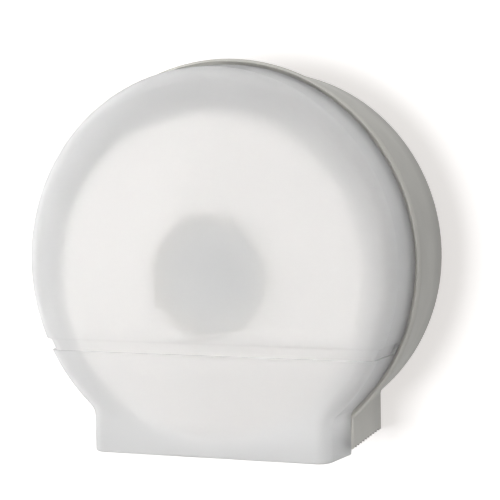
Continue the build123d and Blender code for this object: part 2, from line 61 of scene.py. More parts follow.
# A Mix node has sockets of the same name for each kind of value. These are its colour ones, by number.
MIX_SHARE, MIX_LOW, MIX_HIGH = 0, 6, 7
MIX_RESULT = 2


class Axis(Enum):
    """Direction that a brushed pattern runs along, or a tone changes along."""

    X = 0
    Y = 1
    Z = 2


class Reach(Enum):
    """What a light shines on, told by its link to the wall."""

    WALL_ALONE = "INCLUDE"
    ALL_BUT_WALL = "EXCLUDE"


def outward(azimuth: float, elevation: float) -> Vector:
    """Direction from the dispenser into the room.

    Args:
        azimuth: radians to the right of straight in front.
        elevation: radians above the horizon.

    Returns:
        The direction, one metre long.
    """
    return Vector((
        math.sin(azimuth) * math.cos(elevation),
        -math.cos(azimuth) * math.cos(elevation),
        math.sin(elevation),
    ))


# ---------------------------------------------------------------------------
# Writing shaders
# ---------------------------------------------------------------------------


class Board:
    """A node tree being wired, for a material, a group or the world."""

    def __init__(self, tree: bpy.types.NodeTree) -> None:
        """Takes the tree to add nodes to.

        Args:
            tree: the node tree, which keeps what it already holds.
        """
        self.tree = tree

    def add(self, kind: str, settings: dict | None = None, **values: object) -> bpy.types.Node:
        """Adds a node and fills its sockets.

        Args:
            kind: the node's type without its "ShaderNode" prefix.
            settings: the node's own properties.
            **values: sockets by name with "_" for a space, each a number, a tuple or a socket to link.

        Returns:
            The new node.
        """
        node = self.tree.nodes.new("ShaderNode" + kind)
        for name, value in (settings or {}).items():
            setattr(node, name, value)
        for name, value in values.items():
            self.feed(node.inputs[name.replace("_", " ")], value)
        return node

    def feed(self, socket: Socket, value: object) -> None:
        """Links value to the socket if it is a socket, and otherwise writes it there.

        Args:
            socket: the input to fill.
            value: a socket, a number or a tuple; a colour may leave out its alpha.
        """
        if isinstance(value, Socket):
            self.tree.links.new(value, socket)
        elif socket.type == "RGBA" and len(value) == 3:
            socket.default_value = (*value, 1.0)
        else:
            socket.default_value = value

    def math(self, operation: str, *values: object, clamp: bool = False) -> Socket:
        """Adds a Math node.

        Args:
            operation: Blender's name of the operation.
            *values: its one to three inputs.
            clamp: whether the result is held between 0 and 1.

        Returns:
            The node's result.
        """
        node = self.add("Math", {"operation": operation, "use_clamp": clamp})
        for socket, value in zip(node.inputs, values):
            self.feed(socket, value)
        return node.outputs[0]

    def mix(self, share: object, low: object, high: object) -> Socket:
        """Mixes two colours.

        Args:
            share: how much of high shows, from 0 to 1.
            low: the colour at 0.
            high: the colour at 1.

        Returns:
            The mixed colour.
        """
        node = self.add("Mix", {"data_type": "RGBA"})
        self.feed(node.inputs[MIX_SHARE], share)
        self.feed(node.inputs[MIX_LOW], low)
        self.feed(node.inputs[MIX_HIGH], high)
        return node.outputs[MIX_RESULT]

    def spread(self, value: object, low: float, high: float, to_low: float, to_high: float) -> Socket:
        """Maps a value from one range to another, held inside it.

        Args:
            value: what is mapped.
            low: start of its range.
            high: end of its range.
            to_low: result at low.
            to_high: result at high.

        Returns:
            The mapped value.
        """
        node = self.add("MapRange")
        node.clamp = True
        for name, given in zip(("Value", "From Min", "From Max", "To Min", "To Max"),
                               (value, low, high, to_low, to_high)):
            self.feed(node.inputs[name], given)
        return node.outputs[0]

    def place(self) -> Socket:
        """Position on the piece in metres, which stays with the piece when it moves."""
        return self.add("TexCoord").outputs["Object"]

    def scaled(self, colour: Socket, level: Socket) -> Socket:
        """A colour times a level, which may be more than one.

        Args:
            colour: the colour's socket.
            level: the level's socket.

        Returns:
            The new colour's socket.
        """
        return self.add("VectorMath", {"operation": "SCALE"}, Vector=colour, Scale=level).outputs[0]

    def radius(self, split: bpy.types.Node, axis_x: float, axis_z: float) -> Socket:
        """Distance from an axis along Y.

        Args:
            split: the node that splits the place into X, Y and Z.
            axis_x: the axis's place along X.
            axis_z: the axis's place along Z.

        Returns:
            The distance's socket.
        """
        across = self.math("POWER", self.math("SUBTRACT", split.outputs["X"], axis_x), 2.0)
        upward = self.math("POWER", self.math("SUBTRACT", split.outputs["Z"], axis_z), 2.0)
        return self.math("SQRT", self.math("ADD", across, upward))

    def group(self, tree: bpy.types.NodeTree, **values: object) -> bpy.types.Node:
        """Places a shared effect.

        Args:
            tree: the effect's node group.
            **values: its inputs by name with "_" for a space.

        Returns:
            The group's node.
        """
        node = self.tree.nodes.new("ShaderNodeGroup")
        node.node_tree = tree
        for name, value in values.items():
            self.feed(node.inputs[name.replace("_", " ")], value)
        return node


class Effect:
    """A node group that several finishes share, built once from named inputs and outputs."""

    def __init__(self, name: str, inputs: dict[str, tuple[str, float]], outputs: tuple[str, ...]) -> None:
        """Makes the group and its sockets.

        Args:
            name: the group's name.
            inputs: socket type and default value by input name; a vector's default is ignored.
            outputs: names of the outputs, all of them plain values.
        """
        self.tree = bpy.data.node_groups.new(name, "ShaderNodeTree")
        for label, (kind, start) in inputs.items():
            socket = self.tree.interface.new_socket(label, in_out="INPUT", socket_type=kind)
            if kind == "NodeSocketFloat":
                socket.default_value = start
        for label in outputs:
            self.tree.interface.new_socket(label, in_out="OUTPUT", socket_type="NodeSocketFloat")
        self.board = Board(self.tree)
        self.given = self.tree.nodes.new("NodeGroupInput").outputs
        self.result = self.tree.nodes.new("NodeGroupOutput").inputs


def moulded_grain(pit_height: float = 0.5, mottle_ratio: float = 60.0) -> bpy.types.NodeTree:
    """The fine spark-eroded grain of a plastic moulding.

    Args:
        pit_height: share of the pits in the height.
        mottle_ratio: how many times coarser the mottle is than the grain.

    Returns:
        A group with Vector and Scale in, and Height and Mottle out.
    """
    effect = Effect(
        "moulded_grain",
        {"Vector": ("NodeSocketVector", 0.0), "Scale": ("NodeSocketFloat", 1500.0)},
        ("Height", "Mottle"),
    )
    board = effect.board
    fine = board.add("TexNoise", Vector=effect.given["Vector"], Scale=effect.given["Scale"], Detail=3.0)
    pits = board.add("TexVoronoi", Vector=effect.given["Vector"], Scale=effect.given["Scale"])
    height = board.math("MULTIPLY_ADD", pits.outputs["Distance"], pit_height, fine.outputs[0])
    board.feed(effect.result["Height"], height)
    broad_scale = board.math("DIVIDE", effect.given["Scale"], mottle_ratio)
    broad = board.add("TexNoise", Vector=effect.given["Vector"], Scale=broad_scale, Detail=4.0)
    board.feed(effect.result["Mottle"], board.spread(broad.outputs[0], 0.3, 0.7, 0.0, 1.0))
    return effect.tree


def handling_marks(hair_stretch: float = 26.0, hair_ratio: float = 2.5) -> bpy.types.NodeTree:
    """Faint smears and hairlines where a surface is wiped and touched.

    Args:
        hair_stretch: how much the hairlines are drawn out.
        hair_ratio: how many times finer the hairlines are than the smears.

    Returns:
        A group with Vector and Scale in, and Smear and Hairline out.
    """
    effect = Effect(
        "handling_marks",
        {"Vector": ("NodeSocketVector", 0.0), "Scale": ("NodeSocketFloat", 30.0)},
        ("Smear", "Hairline"),
    )
    board = effect.board
    smear = board.add(
        "TexNoise", Vector=effect.given["Vector"], Scale=effect.given["Scale"], Detail=5.0, Distortion=1.2
    )
    board.feed(effect.result["Smear"], board.spread(smear.outputs[0], 0.42, 0.7, 0.0, 1.0))
    stretched = board.add("Mapping", Vector=effect.given["Vector"], Scale=(1.0, 1.0, hair_stretch))
    hair_scale = board.math("MULTIPLY", effect.given["Scale"], hair_ratio)
    hair = board.add("TexNoise", Vector=stretched.outputs[0], Scale=hair_scale, Detail=2.0, Distortion=0.6)
    board.feed(effect.result["Hairline"], board.spread(hair.outputs[0], 0.66, 0.72, 0.0, 1.0))
    return effect.tree


def settled_dust(speck_scale: float = 420.0, slope: float = 0.55) -> bpy.types.NodeTree:
    """Dust on what faces up, broken up by noise.

    Args:
        speck_scale: how fine the specks are.
        slope: height of the normal from which dust begins to lie.

    Returns:
        A group with Vector and Amount in, and Mask out.
    """
    effect = Effect(
        "settled_dust",
        {"Vector": ("NodeSocketVector", 0.0), "Amount": ("NodeSocketFloat", 0.3)},
        ("Mask",),
    )
    board = effect.board
    normal = board.add("NewGeometry").outputs["Normal"]
    upward = board.add("SeparateXYZ", Vector=normal).outputs["Z"]
    speck = board.add("TexNoise", Vector=effect.given["Vector"], Scale=speck_scale, Detail=6.0)
    broken = board.math("MULTIPLY", board.spread(upward, slope, 1.0, 0.0, 1.0), speck.outputs[0])
    board.feed(effect.result["Mask"], board.math("MULTIPLY", broken, effect.given["Amount"], clamp=True))
    return effect.tree


@dataclass
class Effects:
    """The shared node groups, each built once."""

    grain: bpy.types.NodeTree = field(default_factory=moulded_grain)
    marks: bpy.types.NodeTree = field(default_factory=handling_marks)
    dust: bpy.types.NodeTree = field(default_factory=settled_dust)


# ---------------------------------------------------------------------------
# Finishes
# ---------------------------------------------------------------------------


def new_material(name: str) -> tuple[bpy.types.Material, Board, bpy.types.Node]:
    """Makes a material with a bare Principled shader.

    Args:
        name: the material's name.

    Returns:
        The material, its board and the Principled node.
    """
    material = bpy.data.materials.new(name)
    material.use_nodes = True
    board = Board(material.node_tree)
    return material, board, material.node_tree.nodes["Principled BSDF"]


@dataclass(frozen=True)
class Fade:
    """A tone that changes evenly along one axis, from one place to another."""

    axis: Axis
    start: float
    end: float
    level_at_start: float
    level_at_end: float

    def level(self, board: Board, split: bpy.types.Node) -> Socket:
        """How much of the colour is left.

        Args:
            board: the material's board.
            split: the node that splits the place into X, Y and Z.

        Returns:
            The level's socket.
        """
        along = split.outputs[self.axis.name]
        return board.spread(along, self.start, self.end, self.level_at_start, self.level_at_end)


@dataclass(frozen=True)
class RingFade:
    """A tone that changes evenly with the distance from an axis along Y."""

    axis_x: float
    axis_z: float
    start: float
    end: float
    level_at_start: float
    level_at_end: float

    def level(self, board: Board, split: bpy.types.Node) -> Socket:
        """How much of the colour is left.

        Args:
            board: the material's board.
            split: the node that splits the place into X, Y and Z.

        Returns:
            The level's socket.
        """
        radius = board.radius(split, self.axis_x, self.axis_z)
        return board.spread(radius, self.start, self.end, self.level_at_start, self.level_at_end)


def faded(board: Board, place: Socket, fades: tuple[Fade | RingFade, ...]) -> Socket:
    """All of a finish's fades, multiplied.

    Args:
        board: the material's board.
        place: the place on the part.
        fades: the changes of tone.

    Returns:
        The level's socket.
    """
    split = board.add("SeparateXYZ", Vector=place)
    level = fades[0].level(board, split)
    for fade in fades[1:]:
        level = board.math("MULTIPLY", level, fade.level(board, split))
    return level


@dataclass(frozen=True)
class MouldedPlastic:
    """Opaque grained plastic with a broad faint mottle, wiping marks and dust on top.

    Where it has fades, its colour is scaled by them as painted light and shade, and what faces down is
    darkened to the underside level as painted shade.
    """

    name: str
    colour: Colour
    shade: Colour
    roughness: float = 0.5
    grain: float = 1500.0
    depth: float = 0.05
    dust: float = 0.2
    gloss: float = 0.5
    underside_shade: float = 1.0
    fades: tuple[Fade | RingFade, ...] = ()
    down_full: float = -0.84
    down_none: float = -0.8
    marks_scale: float = 24.0
    dust_gain: float = 1.25
    dust_lift: float = 0.06
    mottle_matt: float = 0.06
    smear_polish: float = 0.05
    grain_depth: float = 0.4 * MM
    refraction: float = 1.46

    def build(self, effects: Effects) -> bpy.types.Material:
        """Makes the material.

        Args:
            effects: the shared node groups.

        Returns:
            The material.
        """
        material, board, shader = new_material(self.name)
        place = board.place()
        grain = board.group(effects.grain, Vector=place, Scale=self.grain)
        marks = board.group(effects.marks, Vector=place, Scale=self.marks_scale)
        dust = board.group(effects.dust, Vector=place, Amount=self.dust)
        body = board.mix(grain.outputs["Mottle"], self.colour, self.shade)
        # Painted light and shade: the fades scale the colour, and what faces down is darkened.
        if self.fades:
            normal = board.add("NewGeometry").outputs["True Normal"]
            facing = board.add("SeparateXYZ", Vector=normal).outputs["Z"]
            under = board.spread(facing, self.down_full, self.down_none, self.underside_shade, 1.0)
            level = board.math("MULTIPLY", faded(board, place, self.fades), under)
            body = board.scaled(body, level)
        dusty = tuple(min(1.0, level * self.dust_gain + self.dust_lift) for level in self.colour)
        board.feed(shader.inputs["Base Color"], board.mix(dust.outputs["Mask"], body, dusty))
        smoothest = self.roughness - self.mottle_matt / 2
        matt = board.math("MULTIPLY_ADD", grain.outputs["Mottle"], self.mottle_matt, smoothest)
        worn = board.math("MULTIPLY_ADD", marks.outputs["Smear"], -self.smear_polish, matt)
        board.feed(shader.inputs["Roughness"], worn)
        bump = board.add(
            "Bump", Strength=self.depth, Distance=self.grain_depth, Height=grain.outputs["Height"]
        )
        board.feed(shader.inputs["Normal"], bump.outputs[0])
        shader.inputs["IOR"].default_value = self.refraction
        shader.inputs["Specular IOR Level"].default_value = self.gloss
        return material


@dataclass(frozen=True)
class FrostedShell:
    """Milky plastic that lets soft light through and blurs what stands behind it.

    Its colour is darkened where the rim nests in the tray, towards the foot of the chin and along the
    groove's upper step, as painted shade.
    """

    name: str
    colour: Colour
    shade: Colour
    passes: float
    blur: float
    fades: tuple[Fade, ...]
    step_z: float
    step_width: float
    step_shade_level: float
    grain_scale: float = 900.0
    grain_bump: float = 0.03
    grain_depth: float = 0.4 * MM
    marks_scale: float = 14.0
    smear_blur: float = 0.05
    hairline_blur: float = 0.06
    dust: float = 0.18
    dust_colour: Colour = (0.86, 0.85, 0.83)
    refraction: float = 1.4
    gloss: float = 0.35

    def build(self, effects: Effects) -> bpy.types.Material:
        """Makes the material.

        Args:
            effects: the shared node groups.

        Returns:
            The material.
        """
        material, board, shader = new_material(self.name)
        place = board.place()
        grain = board.group(effects.grain, Vector=place, Scale=self.grain_scale)
        marks = board.group(effects.marks, Vector=place, Scale=self.marks_scale)
        dust = board.group(effects.dust, Vector=place, Amount=self.dust)
        body = board.mix(grain.outputs["Mottle"], self.colour, self.shade)
        # Painted shade: a darker line along the groove's upper step.
        upward = board.add("SeparateXYZ", Vector=place).outputs["Z"]
        away = board.math("ABSOLUTE", board.math("SUBTRACT", upward, self.step_z))
        line = board.spread(away, 0.0, self.step_width, self.step_shade_level, 1.0)
        painted_shade_body = board.scaled(body, board.math("MULTIPLY", faded(board, place, self.fades), line))
        board.feed(shader.inputs["Base Color"], board.mix(dust.outputs["Mask"], painted_shade_body, self.dust_colour))
        satin = board.math("MULTIPLY_ADD", marks.outputs["Smear"], self.smear_blur, self.blur)
        scuffed = board.math("MULTIPLY_ADD", marks.outputs["Hairline"], self.hairline_blur, satin)
        board.feed(shader.inputs["Roughness"], scuffed)
        bump = board.add(
            "Bump", Strength=self.grain_bump, Distance=self.grain_depth, Height=grain.outputs["Height"]
        )
        board.feed(shader.inputs["Normal"], bump.outputs[0])
        shader.inputs["Transmission Weight"].default_value = self.passes
        shader.inputs["IOR"].default_value = self.refraction
        shader.inputs["Specular IOR Level"].default_value = self.gloss
        return material


@dataclass(frozen=True)
class PlatedMetal:
    """Zinc or chrome plate with fine drawing lines and a patchy bloom."""

    name: str
    colour: Colour
    bloom: Colour
    roughness: float
    lines: Axis = Axis.X
    line_scale: float = 2600.0
    line_stretch: float = 0.04
    line_matt: float = 0.14
    line_bump: float = 0.08
    line_depth: float = 0.1 * MM
    bloom_scale: float = 9000.0

    def build(self, effects: Effects) -> bpy.types.Material:
        """Makes the material.

        Args:
            effects: the shared node groups.

        Returns:
            The material.
        """
        material, board, shader = new_material(self.name)
        place = board.place()
        stretch = [1.0, 1.0, 1.0]
        stretch[self.lines.value] = self.line_stretch
        drawn = board.add("Mapping", Vector=place, Scale=tuple(stretch))
        lines = board.add("TexNoise", Vector=drawn.outputs[0], Scale=self.line_scale, Detail=3.0)
        grain = board.group(effects.grain, Vector=place, Scale=self.bloom_scale)
        tone = board.mix(grain.outputs["Mottle"], self.colour, self.bloom)
        board.feed(shader.inputs["Base Color"], tone)
        smoothest = self.roughness - self.line_matt / 2
        rough = board.math("MULTIPLY_ADD", lines.outputs[0], self.line_matt, smoothest)
        board.feed(shader.inputs["Roughness"], rough)
        bump = board.add("Bump", Strength=self.line_bump, Distance=self.line_depth, Height=lines.outputs[0])
        board.feed(shader.inputs["Normal"], bump.outputs[0])
        shader.inputs["Metallic"].default_value = 1.0
        return material


@dataclass(frozen=True)
class WoundBoard:
    """Brown-grey board wound in a helix, with its seam and fibres."""

    name: str
    colour: Colour
    fibre: Colour
    axis_x: float
    axis_z: float
    pitch: float
    seam_reach: float = 0.03
    seam_darkness: float = 0.62
    seam_strength: float = 0.7
    seam_sink: float = 2.0
    fibre_scale: float = 900.0
    grain_scale: float = 2200.0
    relief: float = 0.35
    relief_depth: float = 0.3 * MM
    roughness: float = 0.85

    def build(self, effects: Effects) -> bpy.types.Material:
        """Makes the material.

        Args:
            effects: the shared node groups.

        Returns:
            The material.
        """
        material, board, shader = new_material(self.name)
        place = board.place()
        split = board.add("SeparateXYZ", Vector=place)
        across = board.math("SUBTRACT", split.outputs["X"], self.axis_x)
        upward = board.math("SUBTRACT", split.outputs["Z"], self.axis_z)
        turn = board.math("DIVIDE", board.math("ARCTAN2", upward, across), 2 * math.pi)
        along = board.math("DIVIDE", split.outputs["Y"], self.pitch)
        wound = board.math("FRACT", board.math("ADD", along, turn))
        from_seam = board.math("ABSOLUTE", board.math("SUBTRACT", wound, 0.5))
        seam = board.spread(from_seam, 0.0, self.seam_reach, 1.0, 0.0)
        fibres = board.add("TexNoise", Vector=place, Scale=self.fibre_scale, Detail=8.0, Roughness=0.7)
        grain = board.group(effects.grain, Vector=place, Scale=self.grain_scale)
        tone = board.mix(fibres.outputs[0], self.colour, self.fibre)
        dark = tuple(level * self.seam_darkness for level in self.colour)
        share = board.math("MULTIPLY", seam, self.seam_strength)
        board.feed(shader.inputs["Base Color"], board.mix(share, tone, dark))
        sunk = board.math("MULTIPLY", seam, self.seam_sink)
        height = board.math("SUBTRACT", grain.outputs["Height"], sunk)
        bump = board.add("Bump", Strength=self.relief, Distance=self.relief_depth, Height=height)
        board.feed(shader.inputs["Normal"], bump.outputs[0])
        shader.inputs["Roughness"].default_value = self.roughness
        return material


@dataclass(frozen=True)
class TissuePaper:
    """Soft white tissue: crepe fibres and emboss on the wrap, fine ply lines on the ends.

    Its colour is darkened a little towards the core and towards the outer edge, as painted shade.
    """

    name: str
    colour: Colour
    shade: Colour
    axis_x: float
    axis_z: float
    inner: float
    outer: float
    ply: float
    core_shade_reach: float = 12 * MM
    core_shade_level: float = 0.9
    edge_shade_reach: float = 6 * MM
    edge_shade_level: float = 0.94
    waver_scale: float = 22.0
    waver_plies: float = 1.4
    band_scale: float = 340.0
    band_share: float = 0.5
    fibre_scale: float = 1300.0
    fibre_share: float = 0.25
    fibre_height: float = 0.5
    ply_height: float = 0.5
    emboss_around: float = 190.0
    emboss_pitch: float = 4.2 * MM
    relief: float = 0.5
    relief_depth: float = 0.3 * MM
    roughness: float = 0.95
    sheen: float = 0.2
    gloss: float = 0.2

    def build(self, effects: Effects) -> bpy.types.Material:
        """Makes the material.

        Args:
            effects: the shared node groups.

        Returns:
            The material.
        """
        material, board, shader = new_material(self.name)
        place = board.place()
        split = board.add("SeparateXYZ", Vector=place)
        across = board.math("SUBTRACT", split.outputs["X"], self.axis_x)
        upward = board.math("SUBTRACT", split.outputs["Z"], self.axis_z)
        radius = board.radius(split, self.axis_x, self.axis_z)
        facing = board.add("SeparateXYZ", Vector=board.add("NewGeometry").outputs["True Normal"])
        end = board.spread(board.math("ABSOLUTE", facing.outputs["Y"]), 0.4, 0.9, 0.0, 1.0)
        waver = board.add("TexNoise", Vector=place, Scale=self.waver_scale, Detail=3.0)
        plies = board.math("DIVIDE", radius, self.ply)
        rings = board.math("MULTIPLY_ADD", waver.outputs[0], self.waver_plies, plies)
        swing = board.math("SINE", board.math("MULTIPLY", rings, 2 * math.pi))
        line = board.math("MULTIPLY_ADD", swing, 0.5, 0.5)
        band_place = board.add("CombineXYZ", X=radius)
        bands = board.add(
            "TexNoise", Vector=band_place.outputs[0], Scale=self.band_scale, Detail=5.0, Roughness=0.75
        )
        fibres = board.add("TexNoise", Vector=place, Scale=self.fibre_scale, Detail=6.0, Roughness=0.7)
        ply_shade = board.math("MULTIPLY", board.spread(bands.outputs[0], 0.35, 0.7, 0.0, 1.0), end)
        soft = board.math("MULTIPLY", fibres.outputs[0], self.fibre_share)
        share = board.math("MULTIPLY_ADD", ply_shade, self.band_share, soft, clamp=True)
        # Painted shade: darker towards the core and towards the outer edge.
        shade_at_core = board.spread(radius, self.inner, self.inner + self.core_shade_reach, self.core_shade_level, 1.0)
        shade_at_edge = board.spread(radius, self.outer - self.edge_shade_reach, self.outer, 1.0, self.edge_shade_level)
        paper = board.mix(share, self.colour, self.shade)
        board.feed(shader.inputs["Base Color"], board.scaled(paper, board.math("MULTIPLY", shade_at_core, shade_at_edge)))
        wrap = board.math("SUBTRACT", 1.0, end)
        angle = board.math("MULTIPLY", board.math("ARCTAN2", upward, across), self.emboss_around)
        along = board.math("MULTIPLY", split.outputs["Y"], 2 * math.pi / self.emboss_pitch)
        rows = board.math("SINE", along)
        dots = board.math("MULTIPLY", board.math("SINE", angle), rows)
        emboss = board.math("MULTIPLY", board.spread(dots, 0.1, 0.8, 0.0, 1.0), wrap)
        ends = board.math("MULTIPLY", line, board.math("MULTIPLY", end, self.ply_height))
        pattern = board.math("ADD", emboss, ends)
        fuzz = board.math("MULTIPLY", fibres.outputs[0], self.fibre_height)
        height = board.math("ADD", pattern, fuzz)
        bump = board.add("Bump", Strength=self.relief, Distance=self.relief_depth, Height=height)
        board.feed(shader.inputs["Normal"], bump.outputs[0])
        shader.inputs["Roughness"].default_value = self.roughness
        shader.inputs["Sheen Weight"].default_value = self.sheen
        shader.inputs["Specular IOR Level"].default_value = self.gloss
        return material


# ---------------------------------------------------------------------------
# Meshes
# ---------------------------------------------------------------------------


def mesh_object(name: str, points: np.ndarray, faces: list[tuple[int, ...]]) -> bpy.types.Object:
    """Makes a smooth-shaded object from points and faces.

    Args:
        name: the object's name.
        points: its vertices, one row each, in metres.
        faces: vertex numbers of each face.

    Returns:
        The object, linked to the scene.
    """
    mesh = bpy.data.meshes.new(name)
    mesh.from_pydata([tuple(point) for point in points], [], faces)
    mesh.validate()
    mesh.shade_smooth()
    thing = bpy.data.objects.new(name, mesh)
    bpy.context.scene.collection.objects.link(thing)
    return thing


def dress(node: str, material: bpy.types.Material) -> None:
    """Gives a carried-over node its finish.

    Args:
        node: the node's name.
        material: its finish.
    """
    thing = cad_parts[node]
    thing.data.materials.clear()
    thing.data.materials.append(material)
    LOG.info("dressed %s in %s", node, material.name)


# ---------------------------------------------------------------------------
# Sub-assemblies
# ---------------------------------------------------------------------------


@dataclass
class Housing:
    """The wall tray, its hinge pins and the spindle that is screwed to it."""

    tray: MouldedPlastic = MouldedPlastic(
        "tray_grey",
        (0.53, 0.52, 0.485),
        (0.49, 0.48, 0.45),
        0.6,
        gloss=0.3,
        # underside level: painted shade on what faces down, which darkens the flanks of the tear teeth.
        underside_shade=0.5,
        fades=(
            # Painted light: the lip and the ledge behind it lighter, against the shade in the gap to the
            # cover.
            Fade(Axis.Y, -86 * MM, -80 * MM, 1.4, 1.0),
            # Painted shade: darker towards the wall.
            Fade(Axis.Y, -30 * MM, 0.0, 1.0, 0.8),
            # Painted light: lighter towards the foot of the chin.
            Fade(Axis.Z, -85 * MM, -125 * MM, 1.0, 1.3),
        ),
    )
    spindle: MouldedPlastic = MouldedPlastic("spindle_grey", (0.33, 0.33, 0.32), (0.29, 0.29, 0.285), 0.48)
    zinc: PlatedMetal = PlatedMetal("zinc_plate", (0.66, 0.67, 0.68), (0.55, 0.56, 0.58), 0.38)

    def build(self, effects: Effects) -> None:
        """Dresses the fixed pieces.

        Args:
            effects: the shared node groups.
        """
        dress("rear_tray", self.tray.build(effects))
        spindle = self.spindle.build(effects)
        dress("spindle_post", spindle)
        dress("retainer_cap", spindle)
        zinc = self.zinc.build(effects)
        plated = ("spindle_screws", "thrust_washer", "retainer_screw", "hinge_pin_left", "hinge_pin_right")
        for node in plated:
            dress(node, zinc)


@dataclass
class CamLock:
    """The lock in the tray's top, with its washer, nut and turning cam."""

    casting: PlatedMetal = PlatedMetal("lock_die_cast", (0.5, 0.5, 0.49), (0.42, 0.42, 0.41), 0.42)
    pressing: PlatedMetal = PlatedMetal("cam_zinc", (0.46, 0.46, 0.45), (0.38, 0.38, 0.37), 0.5, Axis.Y)

    def build(self, effects: Effects) -> None:
        """Dresses the lock's pieces.

        Args:
            effects: the shared node groups.
        """
        casting = self.casting.build(effects)
        pressing = self.pressing.build(effects)
        for node in ("lock_barrel", "lock_plug"):
            dress(node, casting)
        for node in ("lock_nut", "star_washer", "lock_cam", "cam_screw"):
            dress(node, pressing)


@dataclass
class Cover:
    """The frosted front cover and the catch screwed under its top."""

    shell: FrostedShell = FrostedShell(
        name="frosted_cover",
        colour=(0.985, 0.985, 0.985),
        shade=(0.97, 0.97, 0.97),
        passes=0.73,
        blur=1.0,
        fades=(
            # Painted shade: darker where the rim nests in the tray.
            Fade(Axis.Y, -100 * MM, -86 * MM, 1.0, 0.88),
            # Painted shade: darker below the groove, and more so towards the foot of the chin.
            Fade(Axis.Z, -62 * MM, -76 * MM, 1.0, 0.96),
            Fade(Axis.Z, -108 * MM, -137 * MM, 1.0, 0.84),
        ),
        # Painted shade: a darker line along the groove's upper step.
        step_z=-53.6 * MM,
        step_width=1.3 * MM,
        step_shade_level=0.95,
    )
    strip: PlatedMetal = PlatedMetal("catch_zinc", (0.46, 0.46, 0.46), (0.38, 0.38, 0.38), 0.48, Axis.Y)

    def build(self, effects: Effects) -> None:
        """Dresses the cover's pieces.

        Args:
            effects: the shared node groups.
        """
        dress("front_cover", self.shell.build(effects))
        strip = self.strip.build(effects)
        dress("cover_catch", strip)
        dress("catch_screws", strip)


